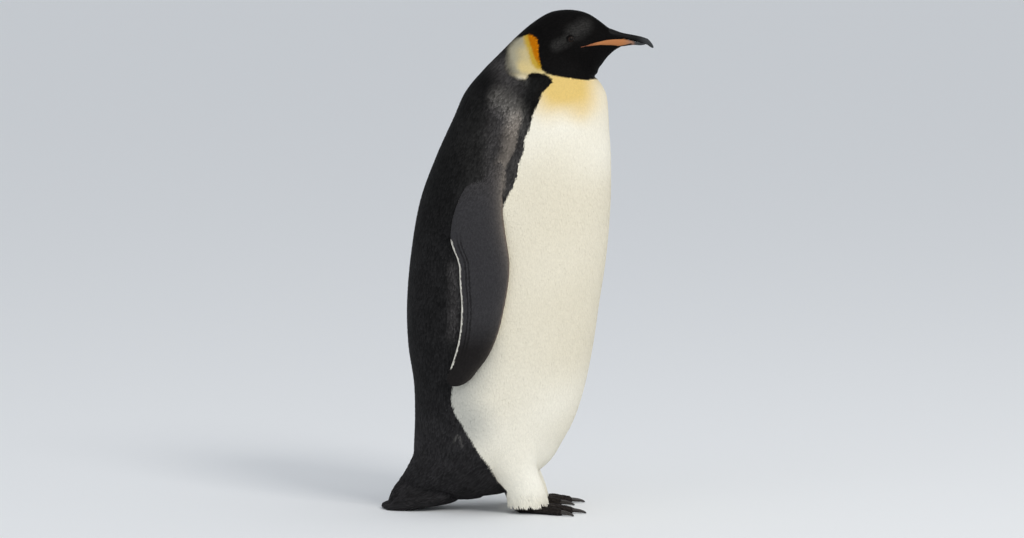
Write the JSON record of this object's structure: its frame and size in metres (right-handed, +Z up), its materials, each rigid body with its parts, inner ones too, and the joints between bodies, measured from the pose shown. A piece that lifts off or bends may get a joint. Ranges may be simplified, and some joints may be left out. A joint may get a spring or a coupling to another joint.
{
  "type": "emperor penguin",
  "caption": "Life-size adult emperor penguin, standing still on its feet and tail, flippers at its sides, head level, bill forward.",
  "frame": {"origin": "on the floor, under the middle of the bird's length and of its width", "axes": "+Z up, +X the way the bill points, +Y the bird's left"},
  "size_m": [0.5459, 0.3344, 1.0003],
  "materials": {
    "black_feathers": "short stiff feathers, satin",
    "pale_feathers": "short stiff feathers, satin",
    "bill_horn": "smooth horn",
    "bill_plate": "smooth horn",
    "eye": "wet and clear",
    "foot_skin": "scaly skin",
    "claw_horn": "dull horn"
  },
  "bodies": {
    "root": {"head": "black_feathers", "bill_upper": "bill_horn", "bill_lower": "bill_plate", "eye_left": "eye", "eye_right": "eye", "neck": "pale_feathers", "trunk": "pale_feathers", "tail": "black_feathers", "flipper_left": "black_feathers", "flipper_right": "black_feathers", "leg_left": "pale_feathers", "leg_right": "pale_feathers", "foot_left": "foot_skin", "foot_right": "foot_skin", "claw_left_inner": "claw_horn", "claw_left_middle": "claw_horn", "claw_left_outer": "claw_horn", "claw_left_hind": "claw_horn", "claw_right_inner": "claw_horn", "claw_right_middle": "claw_horn", "claw_right_outer": "claw_horn", "claw_right_hind": "claw_horn"}
  },
  "joints": []
}
